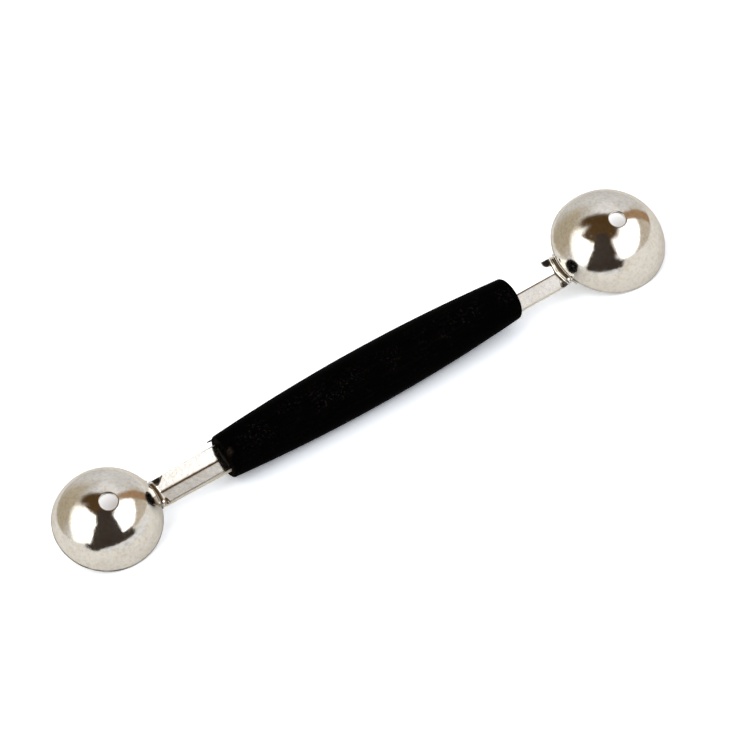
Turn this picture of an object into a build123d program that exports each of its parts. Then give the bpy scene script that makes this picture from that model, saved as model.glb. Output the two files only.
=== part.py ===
from build123d import *

import math
import os

# A double-ended melon baller: a turned wooden handle with a bowl on a creased steel tang at each end.
# Lengths are in millimetres and angles in degrees. +Z is up, +X runs from the small bowl to the large one.
# The tool lies as on a table, domes up, resting on the belly of its handle and on the rim of each bowl.
# The origin is on the table, below the middle of the tool's outline.

# Bowls, pressed from sheet
large_bowl_diameter = 30.0
small_bowl_diameter = 26.5
large_bowl_depth = 12.2
small_bowl_depth = 11.3
bowl_wall = 0.8
rim_bevel = 0.35
large_drain_diameter = 4.3
small_drain_diameter = 4.3
rim_rise = 0.75

# Handle, turned from one length of wood
handle_length = 85.7
handle_diameter = 14.8
handle_end_diameter = 11.1
large_end_round = 2.4
small_end_round = 0.6

# Tangs, creased strips of sheet
large_tang_width = 8.6
small_tang_width = 7.5
tang_thickness = 0.9
strip_rise = 0.3
crease_depth = 0.75
large_tang_reach = 15.6
small_tang_reach = 19.0
buried_length = 24.0
buried_width_share = 0.62
buried_point_share = 0.5
crease_run_out = 0.9
flat_margin = 0.15
tab_rise = 0.9
tab_corner_round = 1.0
inner_bend_round = 1.0
outer_bend_round = 1.3
weld_film = 0.05

# Cement round each buried tang
cement_film = 0.35
cement_pool = 1.5
socket_depth = buried_length + cement_pool

cut_overrun = 1.0

os.makedirs("parts", exist_ok=True)

# The resting pose: the handle's belly and both rims are on the table.
large_centre_reach = handle_length / 2 + large_tang_reach + large_bowl_diameter / 2
small_centre_reach = handle_length / 2 + small_tang_reach + small_bowl_diameter / 2
centre_span = large_centre_reach + small_centre_reach
large_seat_radius = large_bowl_diameter / 2 - rim_bevel
small_seat_radius = small_bowl_diameter / 2 - rim_bevel
mean_seat_radius = (
    large_seat_radius * small_centre_reach + small_seat_radius * large_centre_reach
) / centre_span
axis_height = handle_diameter / 2
rim_slope = math.atan(rim_rise / mean_seat_radius)
lean = math.asin(axis_height / math.hypot(mean_seat_radius, rim_rise)) + rim_slope
pitch = math.asin((large_seat_radius - small_seat_radius) * math.sin(lean) / centre_span)

# The large bowl sets the outline's depth: its far rim on one side, its dome on the other.
large_sphere_radius = (large_bowl_diameter**2 / 4 + large_bowl_depth**2) / (2 * large_bowl_depth)
large_centre_drop = large_sphere_radius - large_bowl_depth
large_bevel_top = math.sqrt(large_sphere_radius**2 - (large_centre_drop + rim_bevel) ** 2)
far_rim_y = large_bevel_top * math.cos(lean) - (rim_rise + rim_bevel) * math.sin(lean)
near_dome_y = -large_sphere_radius - (rim_rise - large_centre_drop) * math.sin(lean)
axis_x = (small_centre_reach + small_bowl_diameter / 2 - large_centre_reach - large_bowl_diameter / 2) / 2
axis_y = -(far_rim_y + near_dome_y) / 2

tool = Plane(
    origin=(axis_x, axis_y, axis_height),
    x_dir=(math.cos(pitch), 0, math.sin(pitch)),
    z_dir=(-math.cos(lean) * math.sin(pitch), -math.sin(lean), math.cos(lean) * math.cos(pitch)),
)


def end_frame(side):
    """The tool's own frame, seen from the handle's middle towards one end: x runs out to the bowl."""
    return Plane(origin=tool.origin, x_dir=tool.x_dir * side, z_dir=tool.z_dir)


def side_plane(end, out, rise):
    """A plane along the handle, standing on the tool's plane, with x outwards and y to the domes."""
    return Plane(origin=end.from_local_coords((out, 0, rise)), x_dir=end.x_dir, z_dir=-end.y_dir)


def cross_plane(end, out):
    """A plane across the handle at a distance from its middle, with x sideways and y to the domes."""
    return Plane(origin=end.from_local_coords((out, 0, 0)), x_dir=end.y_dir, z_dir=end.x_dir)


def make_bowl(side, label, diameter, depth, drain_diameter, centre_reach):
    """A spherical cap of sheet with a ground bevel round its rim and a drain hole at its pole."""
    end = end_frame(side)
    profile_plane = side_plane(end, centre_reach, rim_rise)
    sphere_radius = (diameter**2 / 4 + depth**2) / (2 * depth)
    centre_drop = sphere_radius - depth
    inner_radius = sphere_radius - bowl_wall
    inner_rim = math.sqrt(inner_radius**2 - centre_drop**2)
    bevel_top = math.sqrt(sphere_radius**2 - (centre_drop + rim_bevel) ** 2)
    halfway = (math.asin(centre_drop / sphere_radius) + math.pi / 2) / 2
    outer_mid = (sphere_radius * math.cos(halfway), sphere_radius * math.sin(halfway) - centre_drop)
    inner_mid = (inner_radius * math.cos(halfway), inner_radius * math.sin(halfway) - centre_drop)
    with BuildPart() as bowl:
        with BuildSketch(profile_plane):
            with BuildLine():
                ThreePointArc((bevel_top, rim_bevel), outer_mid, (0, depth))
                Line((0, depth), (0, depth - bowl_wall))
                ThreePointArc((0, depth - bowl_wall), inner_mid, (inner_rim, 0))
                Line((inner_rim, 0), (diameter / 2 - rim_bevel, 0))
                Line((diameter / 2 - rim_bevel, 0), (bevel_top, rim_bevel))
            make_face()
        revolve(axis=Axis(profile_plane.origin, tool.z_dir))
        with BuildSketch(Plane(origin=profile_plane.origin, x_dir=end.x_dir, z_dir=tool.z_dir)):
            Circle(drain_diameter / 2)
        extrude(amount=depth + cut_overrun, mode=Mode.SUBTRACT)
    bowl.part.label = label
    return bowl.part


def make_tang(side, label, width, bowl_diameter, centre_reach):
    """A creased strip whose outer end runs out flat and turns up as a tab against the bowl's wall."""
    end = end_frame(side)
    half_width = width / 2
    handle_end = handle_length / 2
    crease_top = strip_rise - crease_depth
    flat_top = strip_rise - crease_depth / 2
    wall_radius = bowl_diameter / 2 + weld_film
    tab_radius = wall_radius + tang_thickness
    tab_sagitta = tab_radius - math.sqrt(wall_radius**2 - half_width**2)
    flat_start = centre_reach - tab_radius - inner_bend_round - flat_margin
    crease_end = flat_start - crease_run_out

    def strip_section(middle_top, side_top):
        Polyline(
            (-half_width, side_top),
            (0, middle_top),
            (half_width, side_top),
            (half_width, side_top - tang_thickness),
            (0, middle_top - tang_thickness),
            (-half_width, side_top - tang_thickness),
            close=True,
        )

    with BuildPart() as tang:
        with BuildSketch(cross_plane(end, handle_end - buried_length)):
            with BuildLine():
                strip_section(crease_top, strip_rise)
            make_face()
        extrude(amount=buried_length + crease_end - handle_end)
        with BuildSketch(cross_plane(end, crease_end)):
            with BuildLine():
                strip_section(crease_top, strip_rise)
            make_face()
        with BuildSketch(cross_plane(end, flat_start)):
            with BuildLine():
                strip_section(flat_top, flat_top)
            make_face()
        loft(ruled=True)
        with BuildSketch(end.offset(flat_top - tang_thickness)):
            with BuildLine():
                Polyline(
                    (flat_start, -half_width),
                    (flat_start, half_width),
                    (centre_reach, half_width),
                    (centre_reach, -half_width),
                    close=True,
                )
            make_face()
            with Locations((centre_reach, 0)):
                Circle(wall_radius, mode=Mode.SUBTRACT)
        extrude(amount=tang_thickness)
        with BuildSketch(end.offset(flat_top)):
            with Locations((centre_reach, 0)):
                Circle(tab_radius)
                Circle(wall_radius, mode=Mode.SUBTRACT)
            with Locations((centre_reach - tab_radius, 0)):
                Rectangle(2 * tab_sagitta, width, mode=Mode.INTERSECT)
        extrude(amount=strip_rise + tab_rise - flat_top)
        arcs = tang.edges().filter_by(GeomType.CIRCLE).group_by(Axis(tool.origin, tool.z_dir))
        underside_arc, foot_arc = arcs[0], arcs[1].sort_by(SortBy.RADIUS)[-1]
        fillet(foot_arc, inner_bend_round)
        fillet(underside_arc, outer_bend_round)
        top_edges = tang.edges().group_by(Axis(tool.origin, tool.z_dir))[-1]
        fillet(top_edges.filter_by(GeomType.LINE), tab_corner_round)
        # Inside the handle the strip is narrower, with shoulders against the end face and a blunt point.
        buried_half = half_width * buried_width_share
        point_half = buried_half * buried_point_share
        with BuildSketch(end.offset(crease_top - tang_thickness - cut_overrun)):
            with BuildLine():
                Polyline(
                    (handle_end, buried_half),
                    (handle_end - buried_length + buried_half, buried_half),
                    (handle_end - buried_length - cut_overrun, point_half),
                    (handle_end - buried_length - cut_overrun, width),
                    (handle_end, width),
                    close=True,
                )
            make_face()
            mirror(about=Plane.XZ)
        extrude(amount=crease_depth + tang_thickness + 2 * cut_overrun, mode=Mode.SUBTRACT)
    tang.part.label = label
    return tang.part


def socket_sketch(tang_width):
    """The mouth of a socket: the buried strip's outline with a film of cement all round."""
    strip_height = crease_depth + tang_thickness
    with Locations((0, strip_rise - strip_height / 2)):
        Rectangle(tang_width * buried_width_share + 2 * cement_film, strip_height + 2 * cement_film)


def make_cement(side, label, tang_part, tang_width):
    """The cement that fills a socket round its tang, flush with the handle's end face."""
    end = end_frame(side)
    with BuildPart() as cement:
        with BuildSketch(cross_plane(end, handle_length / 2 - socket_depth)):
            socket_sketch(tang_width)
        extrude(amount=socket_depth)
        add(tang_part, mode=Mode.SUBTRACT)
    cement.part.label = label
    return cement.part


large_bowl = make_bowl(
    1, "large_bowl", large_bowl_diameter, large_bowl_depth, large_drain_diameter, large_centre_reach
)
small_bowl = make_bowl(
    -1, "small_bowl", small_bowl_diameter, small_bowl_depth, small_drain_diameter, small_centre_reach
)
large_tang = make_tang(1, "large_tang", large_tang_width, large_bowl_diameter, large_centre_reach)
small_tang = make_tang(-1, "small_tang", small_tang_width, small_bowl_diameter, small_centre_reach)
large_cement = make_cement(1, "large_socket_cement", large_tang, large_tang_width)
small_cement = make_cement(-1, "small_socket_cement", small_tang, small_tang_width)

# The handle: a shallow barrel, plainly cut at the small bowl's end and rounded over at the other.
with BuildPart() as handle:
    with BuildSketch(side_plane(end_frame(1), 0, 0)):
        with BuildLine():
            Line((-handle_length / 2, 0), (-handle_length / 2, handle_end_diameter / 2))
            ThreePointArc(
                (-handle_length / 2, handle_end_diameter / 2),
                (0, handle_diameter / 2),
                (handle_length / 2, handle_end_diameter / 2),
            )
            Line((handle_length / 2, handle_end_diameter / 2), (handle_length / 2, 0))
            Line((handle_length / 2, 0), (-handle_length / 2, 0))
        outline = make_face()
        small_corner, large_corner = outline.vertices().sort_by(Axis.Y)[-2:].sort_by(Axis.X)
        fillet(small_corner, small_end_round)
        fillet(large_corner, large_end_round)
    revolve(axis=Axis(tool.origin, tool.x_dir))
    for side, tang_width in ((1, large_tang_width), (-1, small_tang_width)):
        with BuildSketch(cross_plane(end_frame(side), handle_length / 2 - socket_depth)):
            socket_sketch(tang_width)
        extrude(amount=socket_depth + cut_overrun, mode=Mode.SUBTRACT)
handle.part.label = "handle"

pieces = (handle.part, large_bowl, small_bowl, large_tang, small_tang, large_cement, small_cement)
for piece in pieces:
    export_step(piece, f"parts/{piece.label}.step")
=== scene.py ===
import math

import bpy
import bmesh
from mathutils import Matrix, Vector, noise


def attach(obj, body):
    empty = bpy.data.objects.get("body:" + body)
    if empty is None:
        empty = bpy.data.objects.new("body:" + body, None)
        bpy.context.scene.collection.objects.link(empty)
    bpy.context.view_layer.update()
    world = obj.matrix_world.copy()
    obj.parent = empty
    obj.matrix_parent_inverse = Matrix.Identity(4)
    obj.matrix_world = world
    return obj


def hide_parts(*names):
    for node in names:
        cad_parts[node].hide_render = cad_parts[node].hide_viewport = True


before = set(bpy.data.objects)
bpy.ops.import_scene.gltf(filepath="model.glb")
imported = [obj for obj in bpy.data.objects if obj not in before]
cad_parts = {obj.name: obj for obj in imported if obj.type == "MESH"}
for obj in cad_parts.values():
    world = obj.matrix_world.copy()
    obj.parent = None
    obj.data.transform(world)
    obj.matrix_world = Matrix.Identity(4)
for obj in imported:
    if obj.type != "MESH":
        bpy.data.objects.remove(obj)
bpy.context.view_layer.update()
print("frame loaded:", sorted(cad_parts))

# How the tool lies. Pieces are shaped in the tool's own millimetres: x along the handle, z towards the domes.
toolPose = {
    "axisPoint": (-0.05, 1.218937, 7.4),  # middle of the handle, mm above the table
    "lean": 35.528312,                    # the domes' lean towards -Y, degrees
    "pitch": 0.392235,                    # the large end's lift
    "rimRise": 0.75,                      # rims above the handle's axis
    "handleEnd": 42.85,                   # from the handle's middle to either end
}
millimetre = 0.001


def toolMatrix(side=1):
    # side -1 turns a piece to the small end, with its x still running outwards
    lean, pitch = math.radians(toolPose["lean"]), math.radians(toolPose["pitch"])
    along = Vector((math.cos(pitch), 0, math.sin(pitch)))
    up = Vector((-math.cos(lean) * math.sin(pitch), -math.sin(lean), math.cos(lean) * math.cos(pitch)))
    across = up.cross(along)
    turn = Matrix((along * side, across * side, up)).transposed().to_4x4()
    place = Matrix.Translation(Vector(toolPose["axisPoint"]) * millimetre)
    return place @ turn @ Matrix.Scale(millimetre, 4)


def newObject(name, bm):
    mesh = bpy.data.meshes.new(name)
    bm.to_mesh(mesh)
    bm.free()
    made = bpy.data.objects.new(name, mesh)
    bpy.context.scene.collection.objects.link(made)
    return made


def finishPiece(name, bm, side, node, material):
    # places a shaped mesh on the table and hands it to the frame
    bmesh.ops.transform(bm, matrix=toolMatrix(side), verts=bm.verts)
    for face in bm.faces:
        face.smooth = True
    piece = newObject(name, bm)
    piece.data.materials.append(material)
    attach(piece, "root")
    if node:
        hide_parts(node)
    print("made", name, len(piece.data.vertices), "vertices")
    return piece


# Node helpers
def addNode(tree, kind, **settings):
    node = tree.nodes.new(kind)
    for key, value in settings.items():
        setattr(node, key, value)
    return node


def feed(tree, source, target):
    # a socket is linked, a plain value is set
    if isinstance(source, bpy.types.NodeSocket):
        tree.links.new(source, target)
    else:
        target.default_value = source


def mathNode(tree, operation, first, second=0.0, clamp=False):
    node = addNode(tree, "ShaderNodeMath", operation=operation, use_clamp=clamp)
    feed(tree, first, node.inputs[0])
    feed(tree, second, node.inputs[1])
    return node.outputs[0]


def plus(tree, first, second, clamp=False):
    return mathNode(tree, "ADD", first, second, clamp)


def times(tree, first, second):
    return mathNode(tree, "MULTIPLY", first, second)


def vectorNode(tree, operation, first, second=None):
    node = addNode(tree, "ShaderNodeVectorMath", operation=operation)
    feed(tree, first, node.inputs[0])
    if second is not None:
        feed(tree, second, node.inputs[1])
    return node.outputs["Value" if operation in ("DISTANCE", "DOT_PRODUCT") else "Vector"]


def splitVector(tree, vector):
    node = addNode(tree, "ShaderNodeSeparateXYZ")
    feed(tree, vector, node.inputs[0])
    return node.outputs


def mapRange(tree, value, low, high, toLow=0.0, toHigh=1.0, smooth=False):
    node = addNode(tree, "ShaderNodeMapRange", interpolation_type="SMOOTHSTEP" if smooth else "LINEAR")
    for source, target in zip((value, low, high, toLow, toHigh), node.inputs[:5]):
        feed(tree, source, target)
    return node.outputs[0]


def mixColour(tree, factor, first, second):
    node = addNode(tree, "ShaderNodeMix", data_type="RGBA")  # its colours come in at 6 and 7 and leave at 2
    feed(tree, factor, node.inputs[0])
    feed(tree, first, node.inputs[6])
    feed(tree, second, node.inputs[7])
    return node.outputs[2]


def noiseNode(tree, vector, scale, detail, roughness):
    node = addNode(tree, "ShaderNodeTexNoise")
    feed(tree, vector, node.inputs["Vector"])
    feed(tree, scale, node.inputs["Scale"])
    node.inputs["Detail"].default_value = detail
    node.inputs["Roughness"].default_value = roughness
    return node.outputs["Fac"]


def noiseMask(tree, vector, layer):
    # a layer has a grain, which is scale, detail and roughness, and the span over which the noise fades in
    return mapRange(tree, noiseNode(tree, vector, *layer["grain"]), *layer["span"], smooth=True)


def mixShader(tree, factor, first, second):
    mix = addNode(tree, "ShaderNodeMixShader")
    feed(tree, factor, mix.inputs[0])
    tree.links.new(first, mix.inputs[1])
    tree.links.new(second, mix.inputs[2])
    return mix.outputs[0]


def rgb(red, green, blue):
    return (red, green, blue, 1.0)


def newGroup(name, inputs, outputs):
    group = bpy.data.node_groups.new(name, "ShaderNodeTree")
    for socketName, kind, value in inputs:
        socket = group.interface.new_socket(socketName, in_out="INPUT", socket_type=kind)
        if value is not None:
            socket.default_value = value
    for socketName, kind in outputs:
        group.interface.new_socket(socketName, in_out="OUTPUT", socket_type=kind)
    start = group.nodes.new("NodeGroupInput")
    end = group.nodes.new("NodeGroupOutput")
    return group, start.outputs, end.inputs


def buildToolSpace():
    # turns object coordinates into the tool's own millimetres, so that grain and scratches follow the handle
    group, _, made = newGroup("toolSpace", [], [("Vector", "NodeSocketVector")])
    coords = addNode(group, "ShaderNodeTexCoord").outputs["Object"]
    mapping = addNode(group, "ShaderNodeMapping")
    back = toolMatrix().inverted()
    mapping.inputs["Location"].default_value = back.to_translation()
    mapping.inputs["Rotation"].default_value = back.to_euler()
    mapping.inputs["Scale"].default_value = back.to_scale()
    group.links.new(coords, mapping.inputs["Vector"])
    group.links.new(mapping.outputs[0], made["Vector"])
    return group


steelWear = {
    "cloud": {"grain": (0.22, 5.0, 0.65), "span": (0.35, 0.65)},
    "blotch": {"grain": (1.1, 4.0, 0.65), "span": (0.42, 0.66)},
    "speck": {"grain": (2.6, 3.0, 0.6), "span": (0.58, 0.68)},
    "stain": {"grain": (0.6, 4.0, 0.7), "span": (0.45, 0.62)},
    "scratch": {"grain": (5.0, 5.0, 0.7), "span": (0.45, 0.75)},
    "dents": {"grain": (0.8, 2.0, 0.5)},
    "cloudShare": 0.4, "blotchShare": 0.6,  # how much of the film each makes
    "leastDarkening": 0.45,                     # what stays of the darkening where the cloud noise is lowest
    "darkeningColour": rgb(0.03, 0.026, 0.022),
    "speckRough": 0.13, "scratchRough": 0.05, "darkeningRough": 0.3,
    "scratchHeight": 0.35,
}


def buildHandledSteel():
    # polished sheet that has been washed and wiped for years: a cloudy film, dull specks and shallow dents
    group, given, made = newGroup(
        "handledSteel",
        [("Vector", "NodeSocketVector", None), ("Scratch Stretch", "NodeSocketVector", (0.25, 1.0, 1.0)),
         ("Gloss", "NodeSocketFloat", 0.06), ("Film", "NodeSocketFloat", 0.08), ("Darkening", "NodeSocketFloat", 0.0),
         ("Clean Colour", "NodeSocketColor", rgb(0.67, 0.65, 0.62)),
         ("Film Colour", "NodeSocketColor", rgb(0.58, 0.56, 0.52)),
         ("Stain Colour", "NodeSocketColor", rgb(0.60, 0.54, 0.45))],
        [("Color", "NodeSocketColor"), ("Roughness", "NodeSocketFloat"), ("Height", "NodeSocketFloat")],
    )
    wear, vector = steelWear, given["Vector"]
    layers = ("cloud", "blotch", "speck", "stain")
    cloud, blotch, speck, stain = (noiseMask(group, vector, wear[layer]) for layer in layers)
    stretched = vectorNode(group, "MULTIPLY", vector, given["Scratch Stretch"])
    scratch = noiseNode(group, stretched, *wear["scratch"]["grain"])
    film = plus(group, times(group, cloud, wear["cloudShare"]), times(group, blotch, wear["blotchShare"]), clamp=True)
    filmed = mixColour(group, stain, given["Film Colour"], given["Stain Colour"])
    colour = mixColour(group, film, given["Clean Colour"], filmed)
    # the darkening that the finish gives, painted shade and a dark line, is mottled by the cloud noise; it darkens the
    # colour and roughens the sheet
    darkening = times(group, given["Darkening"], mapRange(group, cloud, 0.0, 1.0, wear["leastDarkening"], 1.0))
    feed(group, mixColour(group, darkening, colour, wear["darkeningColour"]), made["Color"])
    rough = plus(group, given["Gloss"], times(group, film, given["Film"]))
    rough = plus(group, rough, times(group, speck, wear["speckRough"]))
    rough = plus(group, rough, mapRange(group, scratch, *wear["scratch"]["span"], 0.0, wear["scratchRough"]))
    feed(group, plus(group, rough, times(group, darkening, wear["darkeningRough"])), made["Roughness"])
    dents = noiseNode(group, vector, *wear["dents"]["grain"])
    feed(group, plus(group, times(group, scratch, wear["scratchHeight"]), dents), made["Height"])
    return group


woodGrain = {"fibre": (5.0, 0.65), "pore": (2.0, 0.5), "poreSpan": (0.60, 0.70), "fibreHeight": 0.5, "poreDepth": 0.5}


def buildLengthGrain():
    # long fibres of turned wood, with open pores where they come to the surface
    group, given, made = newGroup(
        "lengthGrain",
        [("Vector", "NodeSocketVector", None), ("Stretch", "NodeSocketVector", (0.06, 1.0, 1.0)),
         ("Fibre Scale", "NodeSocketFloat", 2.4), ("Pore Scale", "NodeSocketFloat", 5.5)],
        [("Fibre", "NodeSocketFloat"), ("Height", "NodeSocketFloat")],
    )
    stretched = vectorNode(group, "MULTIPLY", given["Vector"], given["Stretch"])
    fibre = noiseNode(group, stretched, given["Fibre Scale"], *woodGrain["fibre"])
    pore = noiseNode(group, stretched, given["Pore Scale"], *woodGrain["pore"])
    pores = mapRange(group, pore, *woodGrain["poreSpan"], smooth=True)
    raised, sunk = times(group, fibre, woodGrain["fibreHeight"]), times(group, pores, woodGrain["poreDepth"])
    feed(group, fibre, made["Fibre"])
    feed(group, mathNode(group, "SUBTRACT", raised, sunk), made["Height"])
    return group


toolSpace = buildToolSpace()
handledSteel = buildHandledSteel()
lengthGrain = buildLengthGrain()


def emptyMaterial(name):
    material = bpy.data.materials.new(name)
    material.use_nodes = True
    material.node_tree.nodes.clear()
    return material, material.node_tree


def showSurface(tree, shader, kind="ShaderNodeOutputMaterial"):
    tree.links.new(shader, addNode(tree, kind).inputs["Surface"])


def newMaterial(name):
    material, tree = emptyMaterial(name)
    shader = addNode(tree, "ShaderNodeBsdfPrincipled")
    showSurface(tree, shader.outputs[0])
    space = addNode(tree, "ShaderNodeGroup", node_tree=toolSpace)
    return material, tree, shader, space.outputs["Vector"]


def bumpNode(tree, height, distance):
    bump = addNode(tree, "ShaderNodeBump")
    bump.inputs["Strength"].default_value = 1.0
    bump.inputs["Distance"].default_value = distance
    feed(tree, height, bump.inputs["Height"])
    return bump.outputs["Normal"]


def bandMask(tree, value, middle, reach, core=0.25):
    # 1 on a line and over the core of its reach, fading to 0 on both sides
    away = mathNode(tree, "ABSOLUTE", mathNode(tree, "SUBTRACT", value, middle))
    return mapRange(tree, away, reach, reach * core, smooth=True)


# painted shade on the pressed corners beside each tang's bend
cornerShadeMark = {"core": 0.5, "depth": 1.3}  # the share of its reach that is darkest, and how dark


def steelMaterial(name, finish):
    material, tree, shader, space = newMaterial(name)
    steel = addNode(tree, "ShaderNodeGroup", node_tree=handledSteel)
    feed(tree, space, steel.inputs["Vector"])
    for socketName, key in (("Scratch Stretch", "stretch"), ("Gloss", "gloss"), ("Film", "film"),
                            ("Clean Colour", "clean"), ("Film Colour", "filmed"), ("Stain Colour", "stained")):
        steel.inputs[socketName].default_value = finish[key]
    parts = splitVector(tree, space)
    # darkening: a dark line across an axis, which on the bowls is painted shade at the rim, and painted shade on the
    # tangs' pressed corners
    darkening = 0.0
    if finish["darkening"]:
        line = finish["darkening"]
        darkening = times(tree, bandMask(tree, parts[line["axis"]], line["at"], line["reach"]), line["amount"])
    # painted shade on the pressed corners beside the bend, laid into the darkening
    for spot, reach in finish["paintedCornerShades"]:
        away = vectorNode(tree, "DISTANCE", space, spot)
        cornerShade = mapRange(tree, away, reach, reach * cornerShadeMark["core"], 0.0, cornerShadeMark["depth"], smooth=True)
        darkening = mathNode(tree, "MAXIMUM", darkening, cornerShade)
    feed(tree, darkening, steel.inputs["Darkening"])
    shader.inputs["Metallic"].default_value = 1.0
    shader.inputs["Specular Tint"].default_value = finish["edge"]
    feed(tree, steel.outputs["Color"], shader.inputs["Base Color"])
    rough = steel.outputs["Roughness"]
    if finish["sheared"]:
        # the long edges are rough as the shears left them, and the near one is browner
        sheared, across = finish["sheared"], parts[1]
        outside = mapRange(tree, mathNode(tree, "ABSOLUTE", across), *sheared["span"])
        rough = mathNode(tree, "MAXIMUM", rough, times(tree, outside, sheared["rough"]))
        near = mapRange(tree, times(tree, across, -1.0), *sheared["span"])
        feed(tree, mixColour(tree, near, finish["clean"], sheared["colour"]), steel.inputs["Clean Colour"])
    feed(tree, rough, shader.inputs["Roughness"])
    feed(tree, bumpNode(tree, steel.outputs["Height"], finish["bump"]), shader.inputs["Normal"])
    return material


# Steel finishes. Places are in the tool's own millimetres; a dark line lies across an axis (0 x, 1 y, 2 z).
bowlFinish = {
    "stretch": (1.0, 1.0, 1.0), "gloss": 0.052, "film": 0.06, "bump": 0.000016,
    "clean": rgb(0.72, 0.70, 0.68), "filmed": rgb(0.57, 0.55, 0.53), "stained": rgb(0.58, 0.53, 0.45),
    "edge": rgb(0.78, 0.77, 0.75), "sheared": None, "paintedCornerShades": [],
    "darkening": {"axis": 2, "at": 1.5, "reach": 0.32, "amount": 1.0},  # painted shade: a dark line where the ground rim meets the wall
}
# the large bowl's painted shade line at the rim is fainter
fainterLineBowlFinish = dict(bowlFinish, darkening=dict(bowlFinish["darkening"], amount=0.35))
smallTangFinish = {
    "stretch": (0.15, 1.0, 1.0), "gloss": 0.07, "film": 0.06, "bump": 0.000010,
    "clean": rgb(0.80, 0.785, 0.76), "filmed": rgb(0.72, 0.70, 0.68), "stained": rgb(0.70, 0.66, 0.60),
    "edge": rgb(0.85, 0.84, 0.82),
    "sheared": {"span": (3.45, 3.6), "rough": 0.55, "colour": rgb(0.64, 0.60, 0.52)},
    # a dark line just inside the near edge
    "darkening": {"axis": 1, "at": -3.25, "reach": 0.22, "amount": 0.6},
    # painted shade on the far pressed corner beside the bend
    "paintedCornerShades": [((-59.9, 3.3, 0.2), 1.5)],
}
largeTangFinish = dict(
    smallTangFinish, sheared=dict(smallTangFinish["sheared"], span=(4.22, 4.28)), darkening=None,
    # painted shade on both pressed corners beside the bend
    paintedCornerShades=[((56.4, 3.6, 0.2), 1.6), ((56.9, -3.9, 0.2), 1.3)],
)
weldFinish = {
    "stretch": (1.0, 1.0, 1.0), "gloss": 0.34, "film": 0.2, "bump": 0.00006,
    "clean": rgb(0.50, 0.48, 0.46), "filmed": rgb(0.30, 0.28, 0.26), "stained": rgb(0.26, 0.22, 0.18),
    "edge": rgb(0.6, 0.6, 0.6), "sheared": None, "paintedCornerShades": [], "darkening": None,
}
bowlSteel = steelMaterial("bowlSteel", bowlFinish)
fainterLineBowlSteel = steelMaterial("fainterLineBowlSteel", fainterLineBowlFinish)
tangSteel = steelMaterial("tangSteel", largeTangFinish)
agedTangSteel = steelMaterial("agedTangSteel", smallTangFinish)
weldSteel = steelMaterial("weldSteel", weldFinish)


woodFinish = {
    "stain": rgb(0.0004, 0.0004, 0.0004), "thin": rgb(0.0016, 0.0011, 0.0010), "bare": rgb(0.015, 0.011, 0.008),
    "speck": rgb(0.013, 0.012, 0.018), "warmSpeck": rgb(0.020, 0.014, 0.012),
    "streaks": {"span": (0.46, 0.66), "amount": 0.8},
    "dust": {"grain": (1.9, 4.0, 0.7), "span": (0.54, 0.72)},
    "patches": {"grain": (0.16, 2.0, 0.6), "span": (0.36, 0.6)},
    "hue": {"grain": (0.7, 2.0, 0.6), "span": (0.42, 0.58)},  # where the dust is warm
    # painted highlight: the band along the handle's top where the dust specks show fully
    "sheenBand": {"ahead": (0.0, -0.10, 1.0), "span": (0.80, 0.99), "least": 0.3},
    "scuff": {"at": (-42.6, -1.3, 5.2), "reach": 1.6, "core": 0.3, "grain": (1.3, 3.0, 0.6), "span": (0.38, 0.6)},
    "sleek": 0.42, "dull": 0.60, "roughSpan": (0.3, 0.7),
    "refraction": 1.03, "grainDepth": 0.00007,
}


def makeStainedWood():
    finish = woodFinish
    material, tree, shader, space = newMaterial("stainedWood")
    grain = addNode(tree, "ShaderNodeGroup", node_tree=lengthGrain)
    feed(tree, space, grain.inputs["Vector"])
    streaks = mapRange(tree, grain.outputs["Fibre"], *finish["streaks"]["span"], smooth=True)
    colour = mixColour(tree, times(tree, streaks, finish["streaks"]["amount"]), finish["stain"], finish["thin"])
    # pale dust specks lie in patches, full in a band along the top, which is a painted highlight, and fainter elsewhere
    outward = vectorNode(tree, "NORMALIZE", vectorNode(tree, "MULTIPLY", space, (0, 1, 1)))
    sheenBand = finish["sheenBand"]
    facing = vectorNode(tree, "DOT_PRODUCT", outward, Vector(sheenBand["ahead"]).normalized())
    sheenMask = mapRange(tree, facing, *sheenBand["span"], sheenBand["least"], 1.0, smooth=True)
    dust = times(tree, noiseMask(tree, space, finish["dust"]), noiseMask(tree, space, finish["patches"]))
    dustAndSheenColour = mixColour(tree, noiseMask(tree, space, finish["hue"]), finish["speck"], finish["warmSpeck"])
    colour = mixColour(tree, times(tree, dust, sheenMask), colour, dustAndSheenColour)
    # the stain is knocked off at one place on the small end's rim
    scuff = finish["scuff"]
    away = vectorNode(tree, "DISTANCE", space, scuff["at"])
    near = mapRange(tree, away, scuff["reach"], scuff["reach"] * scuff["core"], smooth=True)
    bare = times(tree, near, noiseMask(tree, space, scuff))
    feed(tree, mixColour(tree, bare, colour, finish["bare"]), shader.inputs["Base Color"])
    rough = mapRange(tree, grain.outputs["Fibre"], *finish["roughSpan"], finish["sleek"], finish["dull"])
    feed(tree, rough, shader.inputs["Roughness"])
    feed(tree, bumpNode(tree, grain.outputs["Height"], finish["grainDepth"]), shader.inputs["Normal"])
    shader.inputs["IOR"].default_value = finish["refraction"]
    return material


cementFinish = {
    "lumps": (1.8, 4.0, 0.65), "dark": rgb(0.002, 0.002, 0.002), "pale": rgb(0.014, 0.011, 0.008),
    "paleSpan": (0.35, 0.65), "roughSpan": (0.3, 0.7), "rough": (0.7, 0.95), "lumpHeight": 0.0002, "shine": 0.05,
}


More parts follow.
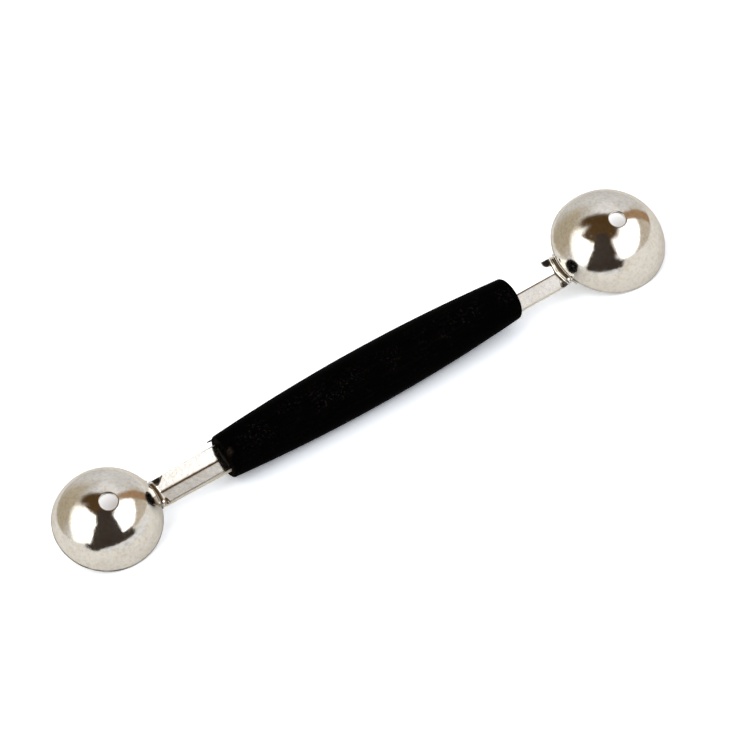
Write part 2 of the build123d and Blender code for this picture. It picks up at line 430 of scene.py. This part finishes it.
def makeCementLook():
    finish = cementFinish
    material, tree, shader, space = newMaterial("socketCement")
    lumps = noiseNode(tree, space, *finish["lumps"])
    pale = mapRange(tree, lumps, *finish["paleSpan"])
    feed(tree, mixColour(tree, pale, finish["dark"], finish["pale"]), shader.inputs["Base Color"])
    feed(tree, mapRange(tree, lumps, *finish["roughSpan"], *finish["rough"]), shader.inputs["Roughness"])
    feed(tree, bumpNode(tree, lumps, finish["lumpHeight"]), shader.inputs["Normal"])
    shader.inputs["Specular IOR Level"].default_value = finish["shine"]
    return material


stainedWood = makeStainedWood()
cementLook = makeCementLook()
print("materials ready")


# Bowls
largeBowl = {"diameter": 30.0, "depth": 12.2, "drain": 4.3, "centre": 73.45}
smallBowl = {"diameter": 26.5, "depth": 11.3, "drain": 4.3, "centre": 75.1}
bowlSheet = {"wall": 0.8, "rimRound": 0.57, "edgeRound": 0.14, "turns": 160, "rings": 44, "merge": 0.0005}


def makeBowl(name, node, bowl, side, steel):
    # half a section through the sheet, its corners rounded, then turned about the bowl's own axis
    bm = bmesh.new()
    radius = (bowl["diameter"] ** 2 / 4 + bowl["depth"] ** 2) / (2 * bowl["depth"])
    drop = radius - bowl["depth"]  # how far the ball's middle lies under the rim
    rims, mouths = [], []
    for shell in (radius, radius - bowlSheet["wall"]):
        rimAngle, mouthAngle = math.acos(drop / shell), math.asin(bowl["drain"] / 2 / shell)
        seed = bm.verts.new((shell * math.sin(rimAngle), 0, shell * math.cos(rimAngle) - drop))
        spun = bmesh.ops.spin(bm, geom=[seed], cent=(0, 0, -drop), axis=(0, -1, 0), angle=rimAngle - mouthAngle,
                              steps=bowlSheet["rings"])
        rims.append(seed)
        mouths.append(next(v for v in spun["geom_last"] if isinstance(v, bmesh.types.BMVert)))
    bm.edges.new(rims)
    bm.edges.new(mouths)
    outerRim, otherCorners = rims[:1], rims[1:] + mouths
    for corners, size, segments in ((outerRim, bowlSheet["rimRound"], 3), (otherCorners, bowlSheet["edgeRound"], 2)):
        bmesh.ops.bevel(bm, geom=corners, offset=size, offset_type="OFFSET", affect="VERTICES", segments=segments,
                        profile=0.5, material=-1)
    bmesh.ops.spin(bm, geom=bm.verts[:] + bm.edges[:], cent=(0, 0, 0), axis=(0, 0, 1), angle=math.tau,
                   steps=bowlSheet["turns"], use_merge=True)
    bmesh.ops.remove_doubles(bm, verts=bm.verts, dist=bowlSheet["merge"])
    bmesh.ops.recalc_face_normals(bm, faces=bm.faces)
    bmesh.ops.translate(bm, vec=(bowl["centre"], 0, toolPose["rimRise"]), verts=bm.verts)
    return finishPiece(name, bm, side, node, steel)


makeBowl("largeBowlShell", "large_bowl", largeBowl, 1, fainterLineBowlSteel)
makeBowl("smallBowlShell", "small_bowl", smallBowl, -1, bowlSteel)


# Tangs. The corners beside the bend are pressed flat over flatNear and flatFar, near being the front.
largeTang = {"width": 8.6, "narrow": 8.6, "flatNear": 1.5, "flatFar": 1.9}
smallTang = {"width": 7.5, "narrow": 7.1, "flatNear": 0.5, "flatFar": 2.3}
tangSheet = {
    "thickness": 0.9, "stripRise": 0.3, "crease": 0.75, "creaseRound": 0.24,
    "buried": 24.0, "buriedShare": 0.62,
    "buriedTrim": 0.999, "mouthGap": 0.02,  # keep the narrow part's ends off the cement and off the mouth
    "pressedRun": 2.8, "flatStep": 0.3, "bend": 0.6, "tabRise": 0.9, "tabCorner": 1.0, "weldFilm": 0.05,
    "edgeRound": 0.04, "sharpAngle": 1.1,
    "rows": {"buried": 4, "straight": 40, "pressed": 22, "tab": 22}, "columns": 36,
    "lastColumn": 0.985,  # the last column but one stands close to the edge, so that the flats shade flat
}


def makeTang(name, node, tang, bowl, side, steel):
    # a flat grid folded along its middle, pressed flat at the corners, bent up against the bowl, then given its wall
    sheet, rows, handleEnd, edgeTop = tangSheet, tangSheet["rows"], toolPose["handleEnd"], tangSheet["stripRise"]
    bendStart = bowl["diameter"] / 2 + sheet["weldFilm"] + sheet["thickness"] + sheet["bend"]
    creaseEnd = bowl["centre"] - bendStart - sheet["pressedRun"]
    flatTop = edgeTop - sheet["crease"] / 2
    quarter = sheet["bend"] * math.pi / 2
    foldScale = math.hypot(tang["width"] / 2, sheet["creaseRound"] / 2) - sheet["creaseRound"] / 2
    straightRow = rows["buried"] + rows["straight"]
    pressedRow = straightRow + rows["pressed"]
    rowCount = pressedRow + rows["tab"]
    halfColumns = sheet["columns"] / 2
    spread = sheet["lastColumn"] * halfColumns / (halfColumns - 1)
    bm = bmesh.new()
    bmesh.ops.create_grid(bm, x_segments=rowCount, y_segments=sheet["columns"], size=0.5)
    for v in bm.verts:
        row, share = round((v.co.x + 0.5) * rowCount), 2 * v.co.y
        if abs(share) < 0.999:  # every column but the outermost
            share *= spread
        half = tang["width"] / 2
        if row < rows["buried"]:
            half *= sheet["buriedShare"]
            sunk = 1 - row / (rows["buried"] - 1)
            x = handleEnd - sheet["buried"] * sunk * sheet["buriedTrim"] - sheet["mouthGap"]
        else:
            x = handleEnd + (creaseEnd - handleEnd) * min((row - rows["buried"]) / rows["straight"], 1)
        reach = min(max((x - handleEnd) / (creaseEnd - handleEnd), 0), 1)
        half *= 1 + (tang["narrow"] / tang["width"] - 1) * reach
        y = share * half
        fold = (math.hypot(y, sheet["creaseRound"] / 2) - sheet["creaseRound"] / 2) / foldScale
        folded = edgeTop - sheet["crease"] * (1 - fold)
        pressed = min(folded, flatTop)
        z = folded
        if row > straightRow:
            step = min((row - straightRow) / rows["pressed"], 1)
            bendX = bowl["centre"] - math.sqrt(bendStart ** 2 - y * y)
            x = creaseEnd + (bendX - creaseEnd) * step
            flatRun = tang["flatNear"] if y * side < 0 else tang["flatFar"]
            flatStart = bendX - flatRun * max(2 * abs(share) - 1, 0)
            z += (pressed - folded) * min(max((x - flatStart) / sheet["flatStep"] + 1, 0), 1)
        if row > pressedRow:
            corner = max(abs(y) - (half - sheet["tabCorner"]), 0)
            lost = sheet["tabCorner"] - math.sqrt(max(sheet["tabCorner"] ** 2 - corner ** 2, 0))
            rise = edgeTop + sheet["tabRise"] - pressed - sheet["bend"]
            run = (quarter + rise - lost) * (row - pressedRow) / rows["tab"]
            turn = min(run / sheet["bend"], math.pi / 2)
            x = bowl["centre"] - math.sqrt((bendStart - sheet["bend"] * math.sin(turn)) ** 2 - y * y)
            z = pressed + sheet["bend"] * (1 - math.cos(turn)) + max(run - quarter, 0)
        v.co = (x, y, z)
    bmesh.ops.recalc_face_normals(bm, faces=bm.faces)
    if sum(f.normal.z for f in bm.faces) < 0:
        bmesh.ops.reverse_faces(bm, faces=bm.faces)
    bmesh.ops.solidify(bm, geom=bm.faces[:], thickness=sheet["thickness"])
    sharp = [e for e in bm.edges if e.is_manifold and e.calc_face_angle() > sheet["sharpAngle"]]
    bmesh.ops.bevel(bm, geom=sharp, offset=sheet["edgeRound"], offset_type="OFFSET", affect="EDGES", segments=2,
                    profile=0.5, material=-1, clamp_overlap=True)
    return finishPiece(name, bm, side, node, steel)


makeTang("largeTangStrip", "large_tang", largeTang, largeBowl, 1, tangSteel)
makeTang("smallTangStrip", "small_tang", smallTang, smallBowl, -1, agedTangSteel)


# Welds: rough beads where each tab meets its bowl, as across, height and radius
largeWeld = [(-4.45, 0.95, 0.32), (-4.8, 0.9, 0.26), (-5.2, 1.0, 0.22), (-5.6, 0.9, 0.16), (4.2, 0.9, 0.2)]
smallWeld = [(3.75, 0.95, 0.3), (4.1, 0.9, 0.22), (-3.75, 0.9, 0.24)]
weldBead = {"standOff": 0.12, "lumpiness": 0.45, "lumpScale": 3.1}


def makeWeld(name, weld, bowl, side):
    bm = bmesh.new()
    for across, height, size in weld:
        reach = math.sqrt((bowl["diameter"] / 2 + weldBead["standOff"]) ** 2 - across ** 2)
        place = Vector((bowl["centre"] - reach, across, height))
        bead = bmesh.ops.create_icosphere(bm, subdivisions=3, radius=size, matrix=Matrix.Translation(place))
        for v in bead["verts"]:
            v.co += (v.co - place) * weldBead["lumpiness"] * noise.noise(v.co * weldBead["lumpScale"])
    finishPiece(name, bm, side, None, weldSteel)


makeWeld("largeWeldBeads", largeWeld, largeBowl, 1)
makeWeld("smallWeldBeads", smallWeld, smallBowl, -1)


# Handle
handleShape = {
    "middle": 7.4, "end": 5.55, "largeRound": 2.4, "smallRound": 0.4, "roundSteps": 8,
    "turns": 144, "stations": 90, "merge": 0.001,
    "endRings": (0.8, 0.55, 0.28, 0.0),  # rings across each end, as shares of its radius
    "core": 3.5,                         # wood nearer the axis than this stays true
    "uneven": {"amount": 0.03, "along": 0.03, "around": 0.9},
    "rubbedRim": {"reach": 1.2, "amount": 0.16, "around": 0.8, "seed": 7.0},
}
tangSocket = {"depth": 25.5, "film": 0.35, "past": 1.0}  # the cutter reaches past the wood


def socketCutter(tang, side):
    # the block that opens a socket
    bm = bmesh.new()
    bmesh.ops.create_cube(bm, size=1.0)
    depth = tangSocket["depth"] + tangSocket["past"]
    sheetHeight = tangSheet["crease"] + tangSheet["thickness"]
    width = tang["width"] * tangSheet["buriedShare"] + 2 * tangSocket["film"]
    bmesh.ops.scale(bm, vec=(depth, width, sheetHeight + 2 * tangSocket["film"]), verts=bm.verts)
    middle = (toolPose["handleEnd"] + tangSocket["past"] - depth / 2, 0, tangSheet["stripRise"] - sheetHeight / 2)
    bmesh.ops.translate(bm, vec=middle, verts=bm.verts)
    bmesh.ops.transform(bm, matrix=toolMatrix(side), verts=bm.verts)
    return newObject("socketCutter", bm)


splinter = {"root": (-42.3, 5.35, -0.5), "tip": (-44.0, 5.5, -0.55), "thick": 0.3, "taper": 0.4, "sides": 8}


def addSplinter(mesh):
    # a whisker of wood left standing on the small end's rim
    bm = bmesh.new()
    bm.from_mesh(mesh)
    root, tip = Vector(splinter["root"]), Vector(splinter["tip"])
    turn = (tip - root).to_track_quat("Z", "Y").to_matrix().to_4x4()
    place = toolMatrix() @ Matrix.Translation((root + tip) / 2) @ turn
    bmesh.ops.create_cone(bm, cap_ends=True, segments=splinter["sides"], radius1=splinter["thick"],
                          radius2=splinter["thick"] * splinter["taper"], depth=(tip - root).length, matrix=place)
    bm.to_mesh(mesh)
    bm.free()


def unevenWood(bm):
    # the lathe's long ripples, and wood rubbed off the small end's rim
    ripple, rim = handleShape["uneven"], handleShape["rubbedRim"]
    for v in bm.verts:
        spread = v.co.yz.length
        if spread < handleShape["core"]:
            continue
        grain = Vector((v.co.x * ripple["along"], v.co.y * ripple["around"], v.co.z * ripple["around"]))
        push = ripple["amount"] * noise.noise(grain)
        endGap = toolPose["handleEnd"] - abs(v.co.x)
        if v.co.x < 0 and endGap < rim["reach"]:
            bite = noise.noise(Vector((rim["seed"], v.co.y * rim["around"], v.co.z * rim["around"])))
            push -= rim["amount"] * max(bite, 0) * (1 - endGap / rim["reach"])
        v.co.y *= 1 + push / spread
        v.co.z *= 1 + push / spread


def makeHandle():
    # half a section, its corners rounded, turned about the handle's axis, then cut for the tangs
    shape, half = handleShape, toolPose["handleEnd"]
    sag = shape["middle"] - shape["end"]
    arcRadius = (half ** 2 + sag ** 2) / (2 * sag)
    bm = bmesh.new()
    seed = bm.verts.new((-half, 0, shape["end"]))
    bmesh.ops.spin(bm, geom=[seed], cent=(0, 0, shape["middle"] - arcRadius), axis=(0, 1, 0),
                   angle=2 * math.asin(half / arcRadius), steps=shape["stations"])
    ends = sorted((v for v in bm.verts if len(v.link_edges) == 1), key=lambda v: v.co.x)
    for corner, size in ((ends[0], shape["smallRound"]), (ends[1], shape["largeRound"])):
        last = corner
        for ring in shape["endRings"]:
            inward = bm.verts.new((corner.co.x, 0, min(shape["end"] * ring, shape["end"] - size)))
            bm.edges.new((last, inward))
            last = inward
        bmesh.ops.bevel(bm, geom=[corner], offset=size, offset_type="OFFSET", affect="VERTICES",
                        segments=shape["roundSteps"], profile=0.5, material=-1)
    bmesh.ops.spin(bm, geom=bm.verts[:] + bm.edges[:], cent=(0, 0, 0), axis=(1, 0, 0), angle=math.tau,
                   steps=shape["turns"], use_merge=True)
    bmesh.ops.remove_doubles(bm, verts=bm.verts, dist=shape["merge"])
    bmesh.ops.recalc_face_normals(bm, faces=bm.faces)
    unevenWood(bm)
    piece = finishPiece("turnedHandle", bm, 1, "handle", stainedWood)
    cutters = [socketCutter(largeTang, 1), socketCutter(smallTang, -1)]
    for cutter in cutters:
        cut = piece.modifiers.new("socket", "BOOLEAN")
        cut.operation, cut.solver, cut.object = "DIFFERENCE", "EXACT", cutter
    bpy.context.view_layer.update()
    cutMesh = bpy.data.meshes.new_from_object(piece.evaluated_get(bpy.context.evaluated_depsgraph_get()))
    piece.modifiers.clear()
    piece.data = cutMesh
    for cutter in cutters:
        bpy.data.objects.remove(cutter)
    addSplinter(cutMesh)
    return piece


makeHandle()

for nodeName in ("large_socket_cement", "small_socket_cement"):
    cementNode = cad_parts[nodeName]
    cementNode.data.materials.clear()
    cementNode.data.materials.append(cementLook)
print("pieces ready")


# Stage: a pale table in a pale room, with a bright area to the left, a window to the right and a dark front between
frontColour, ceilingColour = rgb(0.05, 0.037, 0.028), rgb(0.10, 0.054, 0.018)
roomWalls = rgb(0.86, 0.85, 0.82)
roomFloor = {"colour": rgb(1.0, 0.99, 0.97), "soft": 0.005}  # what the room shows below the horizon

# Patches painted on the room, one over the other: azimuth from +Y towards +X, elevation and roll, half the width and
# height (all in degrees), and the softness of the edge
roomPatches = {
    "warmWall": {"at": (-36, 26, 0), "half": (32, 36), "soft": 0.8,
                 "colour": rgb(0.58, 0.50, 0.36), "strength": 1.0},
    "openFront": {"at": (-142, 12, 0), "half": (34, 42), "soft": 0.12,
                  "colour": frontColour, "strength": 1.0},
    "paleCorner": {"at": (80, 64, 0), "half": (24, 15), "soft": 0.8,
                   "colour": rgb(1.0, 0.98, 0.95), "strength": 1.05},
    "rightWindow": {"at": (149.5, 28, -6), "half": (41, 24.5), "soft": 0.38,
                    "colour": rgb(1.0, 0.99, 0.965), "strength": 2.4},
    "warmCorner": {"at": (118, 3, -27), "half": (46, 16), "soft": 0.35,
                   "colour": rgb(0.68, 0.60, 0.48), "strength": 1.0},
    "brownPost": {"at": (90, 22, -22), "half": (7.5, 42), "soft": 0.5,
                  "colour": rgb(0.46, 0.29, 0.16), "strength": 1.0},
    "ceiling": {"at": (-142, 76, 0), "half": (34, 27), "soft": 0.3,
                "colour": ceilingColour, "strength": 1.0},
    "leftGlow": {"at": (-109, 31, -20), "half": (31, 37), "soft": 0.45,
                 "colour": rgb(1.0, 0.98, 0.90), "strength": 2.4},
}
# the foot of the dark front, below the horizon only
lowPatches = {
    "frontFoot": {"at": (-147, 2, 0), "half": (37, 15), "soft": 0.12, "colour": frontColour, "strength": 1.0},
    "sideFoot": {"at": (176, 0, 0), "half": (28, 12), "soft": 0.3, "colour": frontColour, "strength": 1.0},
}


def patchMask(tree, direction, patch):
    # a soft rectangle with rounded corners, on its own side of the room only
    azimuth, elevation, roll = (math.radians(a) for a in patch["at"])
    level = Vector((math.cos(azimuth), -math.sin(azimuth), 0))
    outwards = Vector((math.sin(azimuth), math.cos(azimuth), 0))
    ahead = outwards * math.cos(elevation) + Vector((0, 0, math.sin(elevation)))
    raised = level.cross(ahead)
    sideways = level * math.cos(roll) + raised * math.sin(roll)
    upwards = raised * math.cos(roll) - level * math.sin(roll)
    fourths = []
    for axis, size in zip((sideways, upwards), patch["half"]):
        share = mathNode(tree, "DIVIDE", vectorNode(tree, "DOT_PRODUCT", direction, axis), math.sin(math.radians(size)))
        square = times(tree, share, share)
        fourths.append(times(tree, square, square))
    reach = mathNode(tree, "SQRT", plus(tree, *fourths))
    mask = mapRange(tree, reach, 1 + patch["soft"], 1 - patch["soft"], smooth=True)
    facing = mathNode(tree, "GREATER_THAN", vectorNode(tree, "DOT_PRODUCT", direction, ahead), 0.0)
    return times(tree, mask, facing)


def paintPatch(tree, direction, colourBefore, patch, limit=None):
    mask = patchMask(tree, direction, patch)
    if limit:
        mask = times(tree, mask, limit)
    return mixColour(tree, mask, colourBefore, rgb(*(c * patch["strength"] for c in patch["colour"][:3])))


def glowNode(tree, colour, strength=1.0, kind="ShaderNodeEmission"):
    node = addNode(tree, kind)
    feed(tree, colour, node.inputs["Color"])
    feed(tree, strength, node.inputs["Strength"])
    return node.outputs[0]


def buildRoom():
    # the steel mirrors the painted room, and the camera sees white behind the table
    world = bpy.data.worlds.new("paleRoom")
    bpy.context.scene.world = world
    world.use_nodes = True
    tree = world.node_tree
    tree.nodes.clear()
    direction = addNode(tree, "ShaderNodeTexCoord").outputs["Generated"]
    colour = roomWalls
    for patch in roomPatches.values():
        colour = paintPatch(tree, direction, colour, patch)
    below = mapRange(tree, splitVector(tree, direction)[2], roomFloor["soft"], -roomFloor["soft"])
    colour = mixColour(tree, below, colour, roomFloor["colour"])
    for patch in lowPatches.values():
        colour = paintPatch(tree, direction, colour, patch, below)
    room = glowNode(tree, colour, kind="ShaderNodeBackground")
    white = glowNode(tree, rgb(1, 1, 1), kind="ShaderNodeBackground")
    rays = addNode(tree, "ShaderNodeLightPath").outputs
    showSurface(tree, mixShader(tree, rays["Is Camera Ray"], room, white), "ShaderNodeOutputWorld")


# Table, in metres
tableTop = {
    "radius": 3.0, "corners": 96, "colour": rgb(0.86, 0.86, 0.85),
    "seen": rgb(1.31, 1.39, 1.55),                       # its colour to the camera
    "glow": 0.1,                                         # its own light, seen in the steel only
    "window": {"x": 0.062, "y": -0.028, "soft": 0.004},  # nearer and further left, it is clear to the steel
    "shades": [((0.0889, 0.0163, 0), 0.64), ((-0.067, 0.0145, 0), 0.71)],
    "shadeReach": (0.0145, -0.004), "shadeColour": rgb(0.15, 0.07, 0),
}


def buildTable():
    bm = bmesh.new()
    bmesh.ops.create_circle(bm, cap_ends=True, segments=tableTop["corners"], radius=tableTop["radius"])
    table = newObject("tableTop", bm)
    material, tree = emptyMaterial("paleTable")
    rays = addNode(tree, "ShaderNodeLightPath").outputs
    mirroredRay = mathNode(tree, "MAXIMUM", rays["Is Glossy Ray"], rays["Is Transmission Ray"])
    place = addNode(tree, "ShaderNodeTexCoord").outputs["Object"]
    seen = tableTop["seen"]
    for spot, depth in tableTop["shades"]:
        # painted shade: the table darkens behind a bowl, where it shows through the bowl's drain hole
        away = vectorNode(tree, "DISTANCE", place, spot)
        mask = mapRange(tree, away, *tableTop["shadeReach"], 0.0, depth, smooth=True)
        seen = mixColour(tree, mask, seen, tableTop["shadeColour"])
    shade = addNode(tree, "ShaderNodeBsdfDiffuse")
    feed(tree, mixColour(tree, rays["Is Camera Ray"], tableTop["colour"], seen), shade.inputs["Color"])
    glow = glowNode(tree, tableTop["colour"], times(tree, mirroredRay, tableTop["glow"]))
    both = addNode(tree, "ShaderNodeAddShader")
    tree.links.new(shade.outputs[0], both.inputs[0])
    tree.links.new(glow, both.inputs[1])
    window, (x, y, _) = tableTop["window"], splitVector(tree, place)
    inFront = mapRange(tree, y, window["y"] + window["soft"], window["y"])
    inFront = times(tree, inFront, mapRange(tree, x, window["x"] + window["soft"], window["x"]))
    clear = addNode(tree, "ShaderNodeBsdfTransparent").outputs[0]
    showSurface(tree, mixShader(tree, times(tree, inFront, mirroredRay), both.outputs[0], clear))
    table.data.materials.append(material)


# Boards beside the tool that the steel mirrors: where each stands on the table (mm), its height, and how far its
# edges fade (start, end, foot, top). A lean draws the end in by so much on the way up to a height.
screens = {
    "topBoard": {"from": (-262, -1800), "to": (-262, 110), "height": (355, 5000), "fade": (6, 110, 40, 40),
                 "lean": (0, 1), "colour": ceilingColour},
    "sideFront": {"from": (-262, -420), "to": (-262, -108), "height": (-60, 700), "fade": (6, 6, 3, 40),
                  "lean": (100, 230), "colour": frontColour},
    "darkFront": {"from": (-303, -244), "to": (-24, -362), "height": (-60, 700), "fade": (6, 6, 3, 40),
                  "lean": (0, 1), "colour": frontColour},
    "lowFront": {"from": (-150, -290), "to": (46, -214), "height": (-40, 34), "fade": (6, 10, 3, 8),
                 "lean": (0, 1), "colour": frontColour},
}


def buildScreen(name, screen):
    start, stop = (Vector(screen[end] + (0,)) * millimetre for end in ("from", "to"))
    low, high = (h * millimetre for h in screen["height"])
    along, up = (stop - start).normalized(), Vector((0, 0, 1))
    bm = bmesh.new()
    bmesh.ops.create_grid(bm, x_segments=1, y_segments=1, size=0.5)
    bmesh.ops.scale(bm, vec=((stop - start).length, high - low, 1), verts=bm.verts)
    stand = Matrix((along, up, along.cross(up))).transposed().to_4x4()
    middle = (start + stop) / 2 + up * (low + high) / 2
    bmesh.ops.transform(bm, matrix=Matrix.Translation(middle) @ stand, verts=bm.verts)
    panel = newObject(name, bm)
    material, tree = emptyMaterial(name)
    place = addNode(tree, "ShaderNodeTexCoord").outputs["Object"]
    width, rise = vectorNode(tree, "DOT_PRODUCT", place, along), splitVector(tree, place)[2]
    startFade, endFade, footFade, topFade = (f * millimetre for f in screen["fade"])
    drawnIn, leanTop = (c * millimetre for c in screen["lean"])
    left, right = start.dot(along), stop.dot(along)
    leaning = plus(tree, width, mapRange(tree, rise, 0.0, leanTop, 0.0, drawnIn))
    mask = mapRange(tree, width, left, left + startFade, smooth=True)
    for value, edge, fade in ((leaning, right, -endFade), (rise, low, footFade), (rise, high, -topFade)):
        mask = times(tree, mask, mapRange(tree, value, edge, edge + fade, smooth=True))
    clear = addNode(tree, "ShaderNodeBsdfTransparent").outputs[0]
    showSurface(tree, mixShader(tree, mask, clear, glowNode(tree, screen["colour"])))
    panel.data.materials.append(material)
    panel.visible_camera = False
    panel.visible_diffuse = False
    panel.visible_shadow = False


buildRoom()
buildTable()
for screenName, screen in screens.items():
    buildScreen(screenName, screen)
print("stage ready")


# Camera: 32 degrees above the table, from the small bowl's side, rolled as the picture is
cameraView = {
    "place": (-0.200005, -0.453562, 0.324427), "forward": (0.33932, 0.77450, -0.53387),
    "right": (0.82597, -0.51690, -0.22490), "lens": 118.36, "sensor": 36.0, "clip": (0.01, 20.0),
}


def buildCamera():
    data = bpy.data.cameras.new("camera")
    data.lens, data.sensor_width = cameraView["lens"], cameraView["sensor"]
    data.clip_start, data.clip_end = cameraView["clip"]
    camera = bpy.data.objects.new("camera", data)
    bpy.context.scene.collection.objects.link(camera)
    back = -Vector(cameraView["forward"]).normalized()
    right = Vector(cameraView["right"])
    right = (right - back * right.dot(back)).normalized()
    turn = Matrix((right, back.cross(right), back)).transposed().to_4x4()
    camera.matrix_world = Matrix.Translation(cameraView["place"]) @ turn
    bpy.context.scene.camera = camera


buildCamera()
bpy.context.scene.view_settings.view_transform = "Standard"
